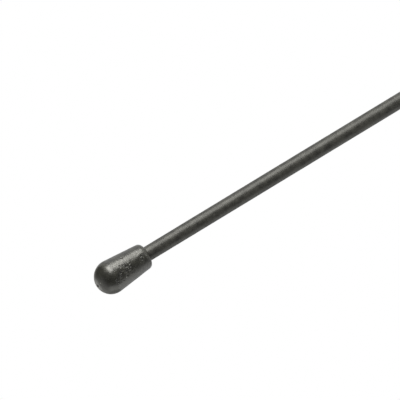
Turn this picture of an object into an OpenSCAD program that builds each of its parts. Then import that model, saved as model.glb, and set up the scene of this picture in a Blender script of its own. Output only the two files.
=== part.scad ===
// Short screw-in mast aerial for a car, upright as it is fitted.
// The origin is the centre of the face that the foot tightens down on, and +Z runs up the mast.
// All sizes are in millimetres.

/* [Mast] */
// Height of the tip above the face that the foot tightens down on
mast_h = 400; // [250:1:600]
// Outside diameter of the mast, over its sleeve
mast_d = 4.5; // [3.6:0.05:5.6]
// Wall of the sleeve
sleeve_wall = 0.5; // [0.3:0.05:0.7]

/* [Tip cap] */
// Diameter of the round nose
nose_d = 10.2; // [8:0.1:13]
// Diameter over the rounded rear rim
rim_d = 8; // [6.4:0.1:9.8]
// Radius of the rounded rear rim
rim_edge_r = 1.5; // [0.3:0.1:2]
// Length from the rear face to the tip
cap_l = 17.8; // [14:0.1:24]
// Solid rubber between the mast's end and the tip
cap_tip_l = 6.3; // [5:0.1:8]

/* [Winding] */
// Diameter of the copper wire
wire_d = 0.35; // [0.25:0.05:0.45]
// Clearance of the wire from the rod inside it and from the sleeve around it
wire_gap = 0.04; // [0.02:0.01:0.08]
// Length of the straight tail that rises from the solder
tail_l = 3; // [2:0.5:6]
// Radius at which the tail bends into the first turn
tail_bend_r = 0.8; // [0.6:0.1:1.2]
// Turns of the loading coil at the foot
coil_turns = 20; // [10:1:30]
// Pitch of the loading coil
coil_pitch = 1; // [0.8:0.05:2]
// Turns over which the pitch opens out above the loading coil
blend_turns = 3; // [1:1:6]
// Pitch of the open winding, up the rest of the rod
wind_pitch = 7.8; // [6:0.1:14]
// Bare end of the rod above the winding
bare_rod_l = 4; // [2:0.5:10]

/* [Solder joint] */
// Depth of the solder cup in the ferrule
solder_cup_l = 1.5; // [1:0.1:2.5]
// Height of the solder above the ferrule
solder_rise = 0.8; // [0.4:0.1:1.5]

/* [Foot ferrule] */
// Diameter of the collar
collar_d = 10; // [8.2:0.1:12]
// Height of the collar
collar_h = 5; // [4:0.5:7]
// Chamfer on the collar's edges
collar_chamfer = 0.4; // [0.2:0.05:0.6]
// Width across the two spanner flats on the collar
flats_w = 8; // [6.6:0.1:9.6]
// Diameter of the body above the collar
body_d = 7.6; // [6.2:0.1:9.1]
// Height of the body
body_h = 8; // [6.5:0.5:10]
// Height of the neck, which is as thick as the mast
neck_h = 14; // [11.5:0.5:17]
// Depth of the socket for the rod, below the neck's top
rod_socket_l = 14; // [11.5:0.5:17]
// Height above the collar at which the groove for the boot begins
groove_h = 3; // [2:0.5:4]
// Width of the groove for the boot
groove_w = 2; // [1.5:0.1:2.5]
// Depth of the groove for the boot
groove_depth = 0.4; // [0.2:0.05:0.5]
// Number of rings crimped into the neck
crimp_count = 3; // [1:1:4]
// Spacing of the crimped rings
crimp_step = 3; // [2:0.25:3.6]
// Radius of a crimped ring's round bottom
crimp_r = 0.8; // [0.6:0.1:1]
// Depth of a crimped ring
crimp_depth = 0.2; // [0.1:0.05:0.25]

/* [Mounting stud] */
// Outside diameter of the stud's thread
stud_d = 5; // [4:0.1:6]
// Length of stud that stands out below the washer
stud_out_l = 10; // [8:0.5:14]
// Length of stud held in the ferrule
stud_in_l = 8; // [6.5:0.5:10]
// Chamfer on the stud's free end
stud_chamfer = 0.6; // [0.3:0.1:1]
// Depth of the relief in which the thread runs out, inside the washer
relief_depth = 0.45; // [0.2:0.05:0.6]
// How far the relief reaches past the washer, into the ferrule
relief_run = 0.5; // [0.3:0.1:1]

/* [Foot boot] */
// Wall of the boot round the ferrule's body
boot_wall = 1.4; // [1:0.1:2]
// Wall of the boot round the mast, at its top
boot_top_wall = 1; // [0.8:0.1:1.6]
// Length of the boot's straight grip above the ferrule's body
boot_grip_l = 2; // [1:0.5:6]
// Length of the boot above the ferrule, over the sleeve
boot_over_l = 16; // [10:0.5:24]
// Radius of the boot's lower edge
boot_foot_r = 0.6; // [0.3:0.1:1]
// Radius that blends the boot's grip into its taper
boot_blend_r = 2.5; // [1:0.5:4]
// Radius of the boot's top edge
boot_top_r = 0.8; // [0.3:0.1:1]
// Clearance of the boot's inner rib from the sides of the ferrule's groove
rib_gap = 0.1; // [0.05:0.05:0.3]

/* [Washer] */
// Thickness of the washer
washer_t = 1; // [0.8:0.1:1.5]
// Clearance of the washer round the stud
washer_gap = 0.1; // [0.05:0.05:0.3]
// How far the washer's edge lies inside the collar's edge
washer_inset = 0.2; // [0.1:0.1:0.6]

/* [Fits] */
// Radial clearance of each glued, screwed or moulded fit
fit_gap = 0.02; // [0.01:0.01:0.05]

/* [Hidden] */
$fn = 96;

// Steps in a turn of the winding, sides of its wire, and steps round its bend
turn_steps = 10;
wire_sides = 5;
bend_steps = 4;

// Overlap of a cut past the face that it opens
cut = 1;

// Levels up the aerial
z_collar = washer_t;
z_body = z_collar + collar_h;
z_neck = z_body + body_h;
z_sleeve = z_neck + neck_h;
z_rod = z_sleeve - rod_socket_l;
z_solder = z_sleeve - solder_cup_l;
z_wire = z_sleeve + solder_rise;
z_groove = z_body + groove_h;
z_cap = mast_h - cap_l;
z_mast_top = mast_h - cap_tip_l;

// Radii, from the sleeve inwards: the winding lies in the sleeve's bore and the rod in the winding.
// A chord of the winding passes nearer to the axis than its ends do, so the rod clears the chords.
mast_r = mast_d / 2;
bore_r = mast_r - sleeve_wall;
wire_r = wire_d / 2;
wind_r = bore_r - wire_gap - wire_r;
rod_r = wind_r * cos(180 / turn_steps) - wire_r - wire_gap;

// Radii of the cap
nose_r = nose_d / 2;
cap_bore_r = mast_r + fit_gap;
rim_land = 0.1;
rim_r = min(rim_edge_r, rim_d / 2 - cap_bore_r - rim_land);

// Radii of the foot
collar_r = collar_d / 2;
body_r = body_d / 2;
stud_r = stud_d / 2;
boot_r = body_r + fit_gap + boot_wall;
boot_top = mast_r + fit_gap + boot_top_wall;
boot_h = body_h + neck_h + boot_over_l;

// Colours of the materials
black_rubber = [0.18, 0.18, 0.17];
black_plastic = [0.2, 0.2, 0.19];
glass_fibre = [0.82, 0.8, 0.66];
copper = [0.72, 0.43, 0.26];
tin_solder = [0.7, 0.71, 0.72];
plated_brass = [0.74, 0.73, 0.69];
steel = [0.58, 0.59, 0.6];

// The direction in which the outer tangent of two discs faces. A disc is [x, y, radius].
function tangent_normal(a, b) =
    let (
        step = [b.x - a.x, b.y - a.y],
        along = step / norm(step),
        lean = (a.z - b.z) / norm(step)
    )
    lean * along + sqrt(1 - lean * lean) * [along.y, -along.x];

// The two points at which the outer tangent touches the discs
function tangent_line(a, b) =
    let (n = tangent_normal(a, b))
    [[a.x, a.y] + a.z * n, [b.x, b.y] + b.z * n];

// Half profile of a round body: discs from the lowest to the highest, joined by their tangents
// and filled in to the axis
module soft_profile(discs) {
    low = discs[0];
    high = discs[len(discs) - 1];
    sides = [for (i = [0 : len(discs) - 2]) each tangent_line(discs[i], discs[i + 1])];
    foot = [[0, low.y - low.z], [low.x, low.y - low.z]];
    head = [[high.x, high.y + high.z], [0, high.y + high.z]];
    polygon(concat(foot, sides, head));
    intersection() {
        translate([0, low.y - low.z])
            square([2 * max([for (d = discs) d.x + d.z]), high.y + high.z - low.y + low.z]);
        for (d = discs)
            translate([d.x, d.y])
                circle(d.z);
    }
}

// Rectangle of a half profile between two radii and two levels
module band(r_in, r_out, z_low, z_high) {
    translate([r_in, z_low])
        square([r_out - r_in, z_high - z_low]);
}

// Moulded cap: the round nose narrows in a straight taper to the rounded rear rim
module tip_cap() {
    color(black_rubber)
        translate([0, 0, z_cap])
            rotate_extrude()
                difference() {
                    soft_profile([
                        [rim_d / 2 - rim_r, rim_r, rim_r],
                        [0, cap_l - nose_r, nose_r]
                    ]);
                    band(0, cap_bore_r, -cut, z_mast_top - z_cap);
                }
}

// Extruded sleeve, from the ferrule to the floor of the cap's bore
module mast_sleeve() {
    color(black_plastic)
        rotate_extrude()
            band(bore_r, mast_r, z_sleeve, z_mast_top);
}

// Fibreglass rod, from the floor of its socket to the floor of the cap's bore
module core_rod() {
    color(glass_fibre)
        translate([0, 0, z_rod])
            cylinder(r = rod_r, h = z_mast_top - z_rod);
}

// The winding's path is drawn on the cylinder of radius wind_r, as if that were unrolled.
// A point of it is [distance round the rod, height above the solder, slope in degrees].
wind_round = 2 * PI * wind_r;
first_slope = atan(coil_pitch / wind_round);
bend_end = [
    tail_bend_r * (1 - sin(first_slope)),
    tail_l + tail_bend_r * cos(first_slope)
];

// How far the pitch has opened out after so many turns, as turns at the open pitch
function opened(turns) =
    let (past = turns - coil_turns)
    past <= 0 ? 0 :
    past < blend_turns ? past * past / (2 * blend_turns) :
    past - blend_turns / 2;

// Height gained over so many turns, and the pitch that the wire has there
function wind_rise(turns) = coil_pitch * turns + (wind_pitch - coil_pitch) * opened(turns);
function pitch_at(turns) =
    coil_pitch + (wind_pitch - coil_pitch) * min(1, max(0, (turns - coil_turns) / blend_turns));

wind_h = z_mast_top - bare_rod_l - z_wire - bend_end.y;
wind_turns =
    (wind_h + (wind_pitch - coil_pitch) * (coil_turns + blend_turns / 2)) / wind_pitch;
wind_steps = ceil(wind_turns * turn_steps);

tail_path = [for (y = [0, tail_l / 2, tail_l]) [0, y, 90]];
bend_path = [
    for (i = [1 : bend_steps])
        let (turned = (90 - first_slope) * i / bend_steps)
        [tail_bend_r * (1 - cos(turned)), tail_l + tail_bend_r * sin(turned), 90 - turned]
];
turn_path = [
    for (i = [1 : wind_steps])
        let (turns = wind_turns * i / wind_steps)
        [
            bend_end.x + turns * wind_round,
            bend_end.y + wind_rise(turns),
            atan(pitch_at(turns) / wind_round)
        ]
];

// Ring of points round the wire at one point of its path, square to the path
function wire_ring(p) =
    let (
        turn = 360 * p.x / wind_round,
        outwards = [cos(turn), sin(turn), 0],
        around = [-sin(turn), cos(turn), 0],
        across = [0, 0, cos(p.z)] - sin(p.z) * around
    )
    [
        for (i = [0 : wire_sides - 1])
            let (a = 360 * i / wire_sides)
            wind_r * outwards + [0, 0, z_wire + p.y]
                + wire_r * (cos(a) * outwards + sin(a) * across)
    ];

// Two triangles of the wire's skin, between ring i and the next, beside side j
function skin_pair(i, j) =
    let (
        k = (j + 1) % wire_sides,
        a = i * wire_sides,
        b = a + wire_sides
    )
    [[a + j, b + j, b + k], [a + j, b + k, a + k]];

// Copper wire: a straight tail off the solder, a loading coil, then an open winding up the rod
module antenna_winding() {
    path = concat(tail_path, bend_path, turn_path);
    last_ring = (len(path) - 1) * wire_sides;
    skin = [
        for (i = [0 : len(path) - 2], j = [0 : wire_sides - 1])
            each skin_pair(i, j)
    ];
    start_face = [for (j = [0 : wire_sides - 1]) j];
    end_face = [for (j = [wire_sides - 1 : -1 : 0]) last_ring + j];
    color(copper)
        polyhedron(
            points = [for (p = path) each wire_ring(p)],
            faces = concat([start_face], skin, [end_face]),
            convexity = 10
        );
}

// Ring of solder in the ferrule's cup, which the wire's tail ends on
module solder_joint() {
    color(tin_solder)
        rotate_extrude()
            band(rod_r + fit_gap, bore_r - fit_gap, z_solder, z_wire);
}

// Turned outside of the ferrule: chamfered collar, body and neck
module ferrule_blank() {
    difference() {
        polygon([
            [0, z_collar],
            [collar_r - collar_chamfer, z_collar],
            [collar_r, z_collar + collar_chamfer],
            [collar_r, z_body - collar_chamfer],
            [collar_r - collar_chamfer, z_body],
            [body_r, z_body],
            [body_r, z_neck],
            [mast_r, z_neck],
            [mast_r, z_sleeve],
            [0, z_sleeve]
        ]);
        band(body_r - groove_depth, body_r + cut, z_groove, z_groove + groove_w);
        for (i = [0 : crimp_count - 1])
            translate([
                mast_r + crimp_r - crimp_depth,
                z_neck + neck_h / 2 + crimp_step * (i - (crimp_count - 1) / 2)
            ])
                circle(crimp_r);
    }
}

// Plated brass foot: stud hole below, rod socket and solder cup above, two spanner flats
module foot_ferrule() {
    color(plated_brass)
        difference() {
            rotate_extrude()
                difference() {
                    ferrule_blank();
                    band(0, stud_r + fit_gap, z_collar - cut, z_collar + stud_in_l);
                    band(0, rod_r + fit_gap, z_rod, z_sleeve + cut);
                    band(0, bore_r, z_solder, z_sleeve + cut);
                }
            for (side = [0, 180])
                rotate([0, 0, side])
                    translate([flats_w / 2, -collar_d, z_collar - cut])
                        cube([collar_d, 2 * collar_d, collar_h + cut]);
        }
}

// Steel stud: its thread's outside, with a relief inside the washer and a chamfered free end
module mount_stud() {
    color(steel)
        rotate_extrude()
            polygon([
                [0, -stud_out_l],
                [stud_r - stud_chamfer, -stud_out_l],
                [stud_r, stud_chamfer - stud_out_l],
                [stud_r, 0],
                [stud_r - relief_depth, relief_depth],
                [stud_r - relief_depth, z_collar + relief_run - relief_depth],
                [stud_r, z_collar + relief_run],
                [stud_r, z_collar + stud_in_l],
                [0, z_collar + stud_in_l]
            ]);
}

// Moulded boot: a straight grip that tapers up the mast, with a rib in the ferrule's groove
module foot_boot() {
    color(black_rubber)
        translate([0, 0, z_body])
            rotate_extrude()
                difference() {
                    soft_profile([
                        [boot_r - boot_foot_r, boot_foot_r, boot_foot_r],
                        [boot_r - boot_blend_r, body_h + boot_grip_l, boot_blend_r],
                        [boot_top - boot_top_r, boot_h - boot_top_r, boot_top_r]
                    ]);
                    band(0, mast_r + fit_gap, -cut, boot_h + cut);
                    difference() {
                        band(0, body_r + fit_gap, -cut, body_h);
                        band(
                            body_r - groove_depth + fit_gap,
                            body_r + fit_gap,
                            groove_h + rib_gap,
                            groove_h + groove_w - rib_gap
                        );
                    }
                }
}

// Flat rubber washer round the stud, under the ferrule's collar
module rubber_washer() {
    color(black_rubber)
        rotate_extrude()
            band(stud_r + washer_gap, collar_r - washer_inset, 0, washer_t);
}

tip_cap();
mast_sleeve();
core_rod();
antenna_winding();
solder_joint();
foot_ferrule();
mount_stud();
foot_boot();
rubber_washer();
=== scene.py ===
"""Short screw-in mast aerial for a car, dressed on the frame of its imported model.

Sizes are in millimetres and bearings in degrees from -Y towards +X, unless a docstring says
otherwise. The origin is the centre of the face that the foot tightens down on, and +Z runs up
the mast. Meshes are written in metres.
"""

import logging
import math
from abc import ABC, abstractmethod
from dataclasses import dataclass, field
from enum import Enum
from functools import reduce
from typing import Any, Mapping, Optional, Sequence, Union

import bpy
import numpy as np
from mathutils import Matrix, Vector


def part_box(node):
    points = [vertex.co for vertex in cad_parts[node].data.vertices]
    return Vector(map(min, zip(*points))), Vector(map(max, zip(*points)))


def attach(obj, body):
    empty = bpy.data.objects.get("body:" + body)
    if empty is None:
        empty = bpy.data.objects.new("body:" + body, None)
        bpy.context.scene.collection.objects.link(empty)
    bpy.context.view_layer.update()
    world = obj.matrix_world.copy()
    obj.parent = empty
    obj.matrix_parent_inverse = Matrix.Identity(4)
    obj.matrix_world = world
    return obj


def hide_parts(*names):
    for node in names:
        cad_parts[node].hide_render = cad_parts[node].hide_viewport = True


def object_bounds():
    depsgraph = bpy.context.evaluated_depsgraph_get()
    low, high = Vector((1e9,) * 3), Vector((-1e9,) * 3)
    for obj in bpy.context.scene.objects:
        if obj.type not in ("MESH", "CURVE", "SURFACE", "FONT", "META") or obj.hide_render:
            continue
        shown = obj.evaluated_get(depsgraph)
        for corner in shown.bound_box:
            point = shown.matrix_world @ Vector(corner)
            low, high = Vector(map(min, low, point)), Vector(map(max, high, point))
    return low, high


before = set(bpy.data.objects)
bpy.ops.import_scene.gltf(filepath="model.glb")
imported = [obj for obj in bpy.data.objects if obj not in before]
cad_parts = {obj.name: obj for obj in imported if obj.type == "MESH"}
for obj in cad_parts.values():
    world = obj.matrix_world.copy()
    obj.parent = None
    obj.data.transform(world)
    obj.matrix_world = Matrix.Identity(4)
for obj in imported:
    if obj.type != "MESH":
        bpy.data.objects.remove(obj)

Array = np.ndarray
Pair = tuple[float, float]
Colour = tuple[float, float, float]
Stretch = tuple[float, float, float]

CAD_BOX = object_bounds()
BODY = "root"
MM = 0.001
LOG = logging.getLogger("aerial")

# Radii of the mast, its bore and its rod, and the clearance of a fit
MAST_R = 2.25
BORE_R = 1.75
ROD_R = 1.245
FIT_GAP = 0.02

# Fewest steps of an arc, distance of a point beside each corner, and a step that counts as none
ARC_STEPS = 5
CORNER_GUARD = 0.04
NO_STEP = 1e-6

# Number of waves in the ripples, and how far their sum goes from hollow to crest
WAVES = 14
WAVE_SPAN = 12

# Spread of the sizes of marks of one kind
MARK_SPREAD: Pair = (0.7, 1.25)

BLACK: Colour = (0.0, 0.0, 0.0)
WHITE: Colour = (1.0, 1.0, 1.0)

# Rays that show the surroundings: from the camera, off gloss and through glass
SHOWING_RAYS = ("Is Camera Ray", "Is Glossy Ray", "Is Transmission Ray")


# Shader maths


class Signal:
    """A node's output, used in Python expressions that add Math nodes."""

    def __init__(self, recipe: "Recipe", socket: bpy.types.NodeSocket) -> None:
        """Keeps the socket and the recipe that its nodes are added to."""
        self.recipe = recipe
        self.socket = socket

    def _math(self, operation: str, first: "Value", second: "Value") -> "Signal":
        """Adds one Math node."""
        return self.recipe.node("ShaderNodeMath", {"operation": operation}, {0: first, 1: second})

    def __neg__(self) -> "Signal":
        """The value with its sign turned."""
        return self._math("MULTIPLY", self, -1.0)

    def __add__(self, other: "Value") -> "Signal":
        """Sum of two values."""
        return self._math("ADD", self, other)

    def __radd__(self, other: "Value") -> "Signal":
        """Sum with a number on the left."""
        return self._math("ADD", other, self)

    def __sub__(self, other: "Value") -> "Signal":
        """Difference of two values."""
        return self._math("SUBTRACT", self, other)

    def __rsub__(self, other: "Value") -> "Signal":
        """Difference from a number on the left."""
        return self._math("SUBTRACT", other, self)

    def __mul__(self, other: "Value") -> "Signal":
        """Product of two values."""
        return self._math("MULTIPLY", self, other)

    def __rmul__(self, other: "Value") -> "Signal":
        """Product with a number on the left."""
        return self._math("MULTIPLY", other, self)

    def __gt__(self, other: "Value") -> "Signal":
        """One where the value is above the other, else zero."""
        return self._math("GREATER_THAN", self, other)

    def over(self, other: "Value") -> "Signal":
        """The larger of two values."""
        return self._math("MAXIMUM", self, other)

    def ramp(self, low: float, high: float) -> "Signal":
        """Rises smoothly from 0 at low to 1 at high.

        Args:
            low: value at which the result is 0.
            high: value at which the result is 1.

        Returns:
            The eased value.
        """
        settings = {"interpolation_type": "SMOOTHSTEP"}
        values = {"Value": self, "From Min": low, "From Max": high}
        return self.recipe.node("ShaderNodeMapRange", settings, values)


Value = Union[Signal, float]
Link = Union[Signal, float, Sequence[float]]


@dataclass(frozen=True)
class Noise:
    """Soft noise: width of a patch, octaves, and the band of it that is stretched to 0 to 1."""

    size: float
    detail: float = 2.0
    band: Optional[Pair] = None


@dataclass(frozen=True)
class Dots:
    """Round dots in a share of a random pattern's cells. Their reach is a share of a cell."""

    cell: float
    reach: float
    share: float
    strength: float = 0.5


class Recipe:
    """Node tree of one material or world, built up by expressions."""

    def __init__(self, tree: bpy.types.NodeTree) -> None:
        """Empties the tree that the recipe writes."""
        self.tree = tree
        tree.nodes.clear()

    def node(
        self,
        kind: str,
        settings: Optional[Mapping[str, Any]] = None,
        values: Optional[Mapping[Union[str, int], Link]] = None,
        output: Union[str, int] = 0,
    ) -> Signal:
        """Adds a node, sets it up, and then fills its sockets.

        Args:
            kind: type of the node.
            settings: its own properties, set before its sockets.
            values: number, vector, colour or link of each socket, by name or place.
            output: name or place of the output that is returned.

        Returns:
            The output asked for.
        """
        made = self.tree.nodes.new(kind)
        for name, setting in (settings or {}).items():
            setattr(made, name, setting)
        for name, value in (values or {}).items():
            socket = made.inputs[name]
            if isinstance(value, Signal):
                self.tree.links.new(value.socket, socket)
            elif socket.type == "RGBA":
                socket.default_value = (*value, 1.0)
            else:
                socket.default_value = value
        return Signal(self, made.outputs[output] if made.outputs else None)

    def here(self, stretch: Stretch = (1.0, 1.0, 1.0)) -> Signal:
        """Object coordinates in metres, each axis multiplied by its stretch."""
        place = self.node("ShaderNodeTexCoord", output="Object")
        return self.node("ShaderNodeMapping", None, {"Vector": place, "Scale": stretch})

    def axes(self, place: Signal, names: str) -> list[Signal]:
        """The parts of a vector along the axes named."""
        return [self.node("ShaderNodeSeparateXYZ", None, {0: place}, axis) for axis in names]

    def mark(self, name: str) -> Signal:
        """The value that the mesh carries under a name."""
        return self.node("ShaderNodeAttribute", {"attribute_name": name}, output="Fac")

    def rays(self, *kinds: str) -> Signal:
        """One for rays of the kinds named, else zero."""
        masks = [self.node("ShaderNodeLightPath", output=kind) for kind in kinds]
        return reduce(Signal.over, masks)

    def noise(self, noise: Noise, place: Optional[Signal] = None) -> Signal:
        """Soft noise from 0 to 1.

        Args:
            noise: its size, detail and band.
            place: coordinates, the object's own where left out.

        Returns:
            The noise.
        """
        size = noise.size * MM
        values = {"Vector": place or self.here(), "Scale": 1 / size, "Detail": noise.detail}
        cloud = self.node("ShaderNodeTexNoise", None, values)
        return cloud.ramp(*noise.band) if noise.band else cloud

    def dots(self, dots: Dots) -> Signal:
        """Round dots, strongest at the middle and fading to 0 at the edge.

        Args:
            dots: their size, number and strength.

        Returns:
            The strength of the dots, 0 outside them.
        """
        values = {"Vector": self.here(), "Scale": 1 / (dots.cell * MM)}
        near = self.node("ShaderNodeTexVoronoi", None, values, "Distance")
        lot = self.node("ShaderNodeTexVoronoi", None, values, "Color")
        drawn = self.node("ShaderNodeSeparateColor", None, {0: lot})
        return (1 - near.ramp(0.0, dots.reach)) * (drawn > 1 - dots.share) * dots.strength

    def blend(self, share: Value, first: Link, second: Link) -> Signal:
        """Mixes two colours, from the first at a share of 0 to the second at 1."""
        values = {0: share, 6: first, 7: second}
        return self.node("ShaderNodeMix", {"data_type": "RGBA"}, values, 2)

    def bump(self, height: Signal, depth: float, under: Optional[Signal] = None) -> Signal:
        """Turns a height into a tilt of the surface.

        Args:
            height: height from 0 to 1.
            depth: depth in millimetres of a height of 1.
            under: tilt that this one is laid over.

        Returns:
            The tilted normal.
        """
        values: dict[Union[str, int], Link] = {"Height": height, "Distance": depth * MM}
        if under is not None:
            values["Normal"] = under
        return self.node("ShaderNodeBump", None, values)

    def surface(self, values: Mapping[str, Link]) -> None:
        """Ends the recipe in a Principled shader with the sockets given."""
        shader = self.node("ShaderNodeBsdfPrincipled", None, values)
        self.node("ShaderNodeOutputMaterial", None, {"Surface": shader})


def new_material(name: str) -> tuple[bpy.types.Material, Recipe]:
    """Makes an empty node material.

    Args:
        name: what the material is for.

    Returns:
        The material and the recipe that fills it.
    """
    material = bpy.data.materials.new(f"{name}_finish")
    material.use_nodes = True
    return material, Recipe(material.node_tree)


# Finishes


@dataclass(frozen=True)
class Finish(ABC):
    """Finish of a piece, named after the record's slot."""

    name: str

    @abstractmethod
    def sockets(self, make: Recipe) -> dict[str, Link]:
        """Works out what goes into the Principled shader.

        Args:
            make: recipe that the nodes are added to.

        Returns:
            The shader's sockets, by name.
        """

    def build(self) -> bpy.types.Material:
        """Builds the material.

        Returns:
            The material.
        """
        material, make = new_material(self.name)
        make.surface(self.sockets(make))
        return material


@dataclass(frozen=True)
class RubberFinish(Finish):
    """Moulded black rubber: cloudy tone, dust, and fine grain on a coarser peel.

    The peel's size and depth are multiples of the grain's. Where the mesh carries marks, its
    pits get painted shade and are rougher, and its specks are pale as dust.
    """

    dark: Colour = (0.012, 0.012, 0.0098)
    pale: Colour = (0.029, 0.029, 0.0235)
    dust: Colour = (0.30, 0.30, 0.28)
    # Painted shade: the darker colour that the pits take
    pit_shade: Colour = (0.006, 0.006, 0.006)
    tone: Noise = Noise(1.6, 4.0, (0.3, 0.7))
    dots: Dots = Dots(1.1, 0.16, 0.02)
    patches: Noise = Noise(0.9, 3.0)
    roughness: float = 0.32
    patch_roughness: float = 0.12
    dust_roughness: float = 0.2
    pit_roughness: float = 0.5
    specular: float = 0.7
    grain: float = 0.32
    grain_depth: float = 0.007
    peel: float = 3.0
    peel_depth: float = 2.2
    marked: bool = False

    def sockets(self, make: Recipe) -> dict[str, Link]:
        """Works out what goes into the Principled shader.

        Args:
            make: recipe that the nodes are added to.

        Returns:
            The shader's sockets, by name.
        """
        colour = make.blend(make.noise(self.tone), self.dark, self.pale)
        rough = self.roughness + self.patch_roughness * (make.noise(self.patches) - 0.5)
        dust = make.dots(self.dots)
        if self.marked:
            # Pits get painted shade, darker than the rubber, and more roughness; specks get pale
            # dust
            pit_shade_and_dust = make.mark("pit_shade_and_dust")
            pit_shade = (-pit_shade_and_dust).over(0.0)
            colour = make.blend(pit_shade, colour, self.pit_shade)
            rough = rough + self.pit_roughness * pit_shade
            dust = dust.over(pit_shade_and_dust)
        peel = make.noise(Noise(self.grain * self.peel, 1.0))
        tilt = make.bump(peel, self.grain_depth * self.peel_depth)
        return {
            "Base Color": make.blend(dust, colour, self.dust),
            "Roughness": rough + self.dust_roughness * dust,
            "Specular IOR Level": self.specular,
            "Normal": make.bump(make.noise(Noise(self.grain)), self.grain_depth, tilt),
        }


@dataclass(frozen=True)
class SleeveFinish(Finish):
    """Extruded black plastic: satin and cloudy, with dust and faint lines along the mast."""

    dark: Colour = (0.0185, 0.0183, 0.0163)
    pale: Colour = (0.046, 0.0455, 0.0405)
    dust: Colour = (0.25, 0.25, 0.23)
    tone: Noise = Noise(2.2, 4.0, (0.3, 0.7))
    dots: Dots = Dots(1.6, 0.13, 0.02)
    patches: Noise = Noise(1.2, 3.0)
    lines: Noise = Noise(0.3)
    line_stretch: Stretch = (1.0, 1.0, 0.06)
    line_depth: float = 0.007
    waves: Noise = Noise(1.4)
    wave_depth: float = 0.03
    roughness: float = 0.45
    patch_roughness: float = 0.12
    line_roughness: float = 0.06
    specular: float = 0.43

    def sockets(self, make: Recipe) -> dict[str, Link]:
        """Works out what goes into the Principled shader.

        Args:
            make: recipe that the nodes are added to.

        Returns:
            The shader's sockets, by name.
        """
        lines = make.noise(self.lines, make.here(self.line_stretch))
        plastic = make.blend(make.noise(self.tone), self.dark, self.pale)
        patchy = self.patch_roughness * (make.noise(self.patches) - 0.5)
        waves = make.bump(make.noise(self.waves), self.wave_depth)
        return {
            "Base Color": make.blend(make.dots(self.dots), plastic, self.dust),
            "Roughness": self.roughness + patchy + self.line_roughness * (lines - 0.5),
            "Specular IOR Level": self.specular,
            "Normal": make.bump(lines, self.line_depth, waves),
        }


@dataclass(frozen=True)
class MetalFinish(Finish):
    """Turned metal: fine rings round the axis, cloudy tarnish, and bare metal on worn edges."""

    clean: Colour
    tarnish: Colour
    worn: Colour
    roughness: float
    ring_depth: float = 0.004
    rings: Noise = Noise(0.5, 3.0)
    ring_stretch: Stretch = (0.05, 0.05, 4.0)
    cloud: Noise = Noise(2.5, 5.0, (0.35, 0.75))
    wear: Noise = Noise(1.0, 3.0, (0.4, 0.6))
    cloud_roughness: float = 0.12
    ring_roughness: float = 0.08

    def sockets(self, make: Recipe) -> dict[str, Link]:
        """Works out what goes into the Principled shader.

        Args:
            make: recipe that the nodes are added to.

        Returns:
            The shader's sockets, by name.
        """
        rings = make.noise(self.rings, make.here(self.ring_stretch))
        cloud = make.noise(self.cloud)
        wear = make.mark("edge") * make.noise(self.wear)
        rough = self.roughness + self.cloud_roughness * cloud
        return {
            "Base Color": make.blend(wear, make.blend(cloud, self.clean, self.tarnish), self.worn),
            "Metallic": 1.0,
            "Roughness": rough + self.ring_roughness * (rings - 0.5),
            "Normal": make.bump(rings, self.ring_depth),
        }


@dataclass(frozen=True)
class CopperFinish(Finish):
    """Enamelled copper wire: clear coat over drawn copper that varies a little in tone."""

    bright: Colour = (0.80, 0.36, 0.18)
    brown: Colour = (0.52, 0.19, 0.08)
    tone: Noise = Noise(4.0, 3.0, (0.35, 0.7))
    scuffs: Noise = Noise(0.15)
    scuff_depth: float = 0.002
    scuff_roughness: float = 0.14
    roughness: float = 0.26
    coat: float = 0.6
    coat_roughness: float = 0.12

    def sockets(self, make: Recipe) -> dict[str, Link]:
        """Works out what goes into the Principled shader.

        Args:
            make: recipe that the nodes are added to.

        Returns:
            The shader's sockets, by name.
        """
        scuffs = make.noise(self.scuffs)
        return {
            "Base Color": make.blend(make.noise(self.tone), self.bright, self.brown),
            "Metallic": 1.0,
            "Roughness": self.roughness + self.scuff_roughness * scuffs,
            "Coat Weight": self.coat,
            "Coat Roughness": self.coat_roughness,
            "Normal": make.bump(scuffs, self.scuff_depth),
        }


@dataclass(frozen=True)
class GlassFibreFinish(Finish):
    """Drawn glass fibre in resin: pale and a little stained, with threads along the rod."""

    resin: Colour = (0.60, 0.55, 0.36)
    fibre: Colour = (0.78, 0.76, 0.62)
    threads: Noise = Noise(0.12, 3.0)
    thread_stretch: Stretch = (1.0, 1.0, 0.02)
    thread_band: Pair = (0.35, 0.65)
    thread_depth: float = 0.01
    thread_roughness: float = 0.18
    stain: Noise = Noise(6.0, 3.0, (0.4, 0.8))
    stain_strength: float = 0.4
    roughness: float = 0.32

    def sockets(self, make: Recipe) -> dict[str, Link]:
        """Works out what goes into the Principled shader.

        Args:
            make: recipe that the nodes are added to.

        Returns:
            The shader's sockets, by name.
        """
        threads = make.noise(self.threads, make.here(self.thread_stretch))
        colour = make.blend(threads.ramp(*self.thread_band), self.resin, self.fibre)
        stain = make.noise(self.stain) * self.stain_strength
        return {
            "Base Color": make.blend(stain, colour, self.resin),
            "Roughness": self.roughness + self.thread_roughness * threads,
            "Normal": make.bump(threads, self.thread_depth),
        }


class Rubber(Enum):
    """The three rubber mouldings."""

    CAP = RubberFinish("cap_rubber", marked=True)
    BOOT = RubberFinish(
        "boot_rubber",
        dark=(0.016, 0.016, 0.0135),
        pale=(0.025, 0.025, 0.021),
        roughness=0.46,
        specular=0.5,
        grain=0.5,
        grain_depth=0.014,
    )
    WASHER = RubberFinish(
        "washer_rubber",
        dark=(0.014, 0.014, 0.014),
        pale=(0.026, 0.026, 0.026),
        roughness=0.68,
        specular=0.4,
        grain=0.25,
    )


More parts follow.
